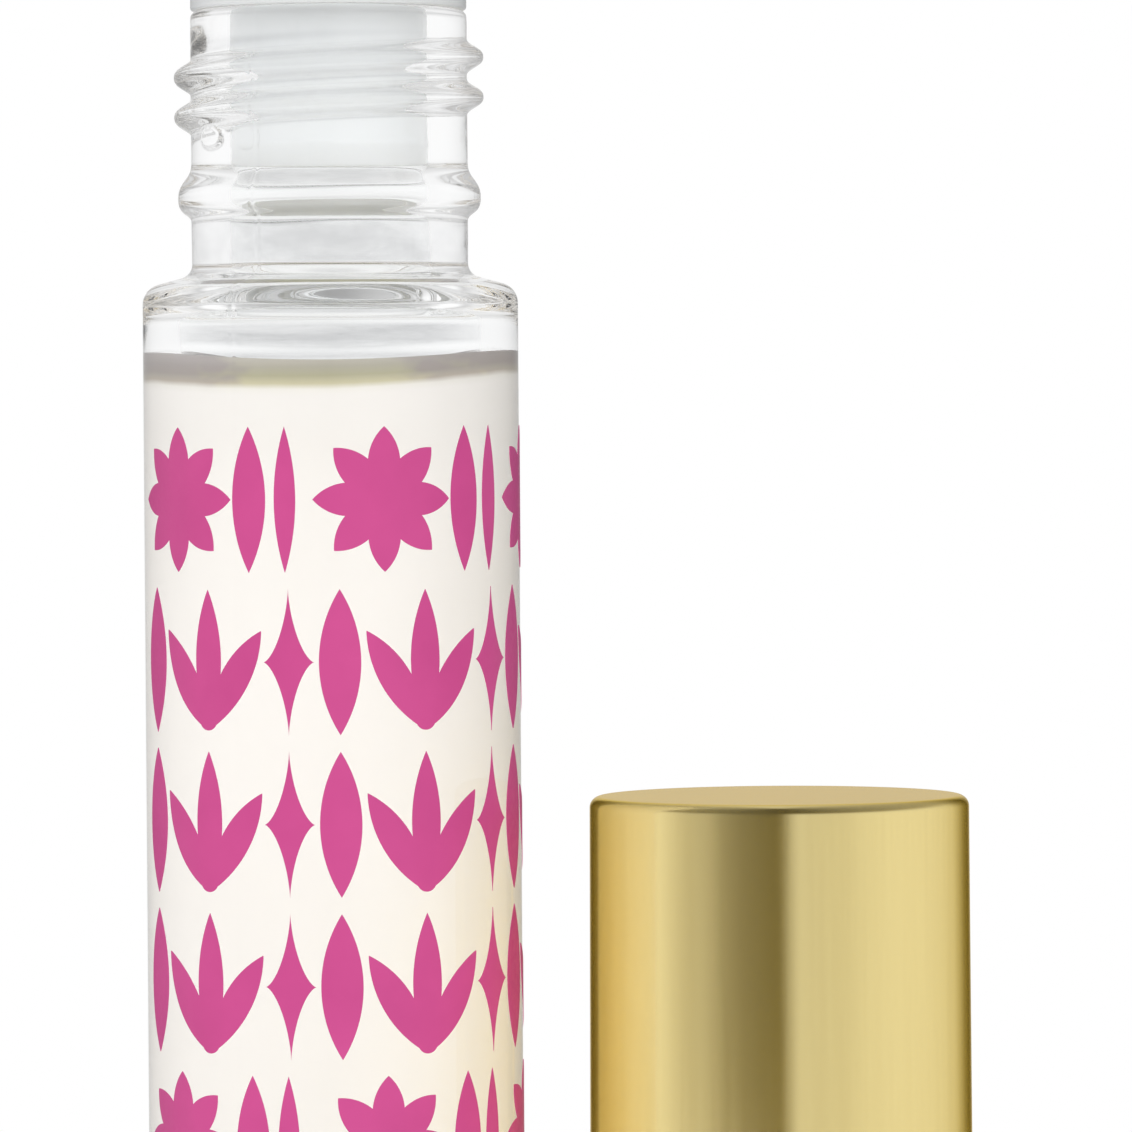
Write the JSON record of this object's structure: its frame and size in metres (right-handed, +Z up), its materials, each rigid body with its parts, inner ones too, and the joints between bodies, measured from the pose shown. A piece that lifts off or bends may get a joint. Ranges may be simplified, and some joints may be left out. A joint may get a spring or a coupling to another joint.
{
  "type": "roll-on lip gloss bottle",
  "caption": "Slim round glass roll-on lip gloss bottle with ball housing in a threaded neck, printed rows of petals, and a separate gold metal screw cap stood beside it.",
  "frame": {"origin": "centre of the bottle's foot, on the surface that the bottle and the cap stand on", "axes": "+Z up along the bottle's axis; -Y is the printed front; the cap stands at +X, mouth down"},
  "size_m": [0.044, 0.0204, 0.0785],
  "materials": {
    "clear_glass": "clear, polished",
    "gloss": "cream, wet, slightly cloudy liquid",
    "ink": "opaque magenta screen-print ink",
    "housing_plastic": "milky natural polyethylene",
    "ball_steel": "polished stainless steel",
    "gold_shell": "satin gold anodised, very fine brushing",
    "liner_plastic": "white moulded polypropylene",
    "seal_foam": "white closed-cell polyethylene foam"
  },
  "bodies": {
    "bottle": {"glass_bottle": "clear_glass", "gloss_fill": "gloss", "printed_pattern": "ink", "roller_housing": "housing_plastic"},
    "roller_ball": {"roller_ball": "ball_steel"},
    "seal_pad": {"cap_seal_pad": "seal_foam"},
    "cap": {"cap_shell": "gold_shell", "cap_liner": "liner_plastic"}
  },
  "joints": [
    {"name": "roller_spin", "type": "hinge", "parent": "bottle", "child": "roller_ball", "pos_m": [0, 0, 0.0736], "axis": [1, 0, 0], "continuous": true},
    {"name": "cap_lift", "type": "slide", "parent": "bottle", "child": "seal_pad", "axis": [0, 0, 1], "range_m": [0, 0.085]},
    {"name": "cap_turn", "type": "hinge", "parent": "seal_pad", "child": "cap", "pos_m": [0.02375, 0, 0.0216], "axis": [0, 0, 1], "continuous": true}
  ]
}
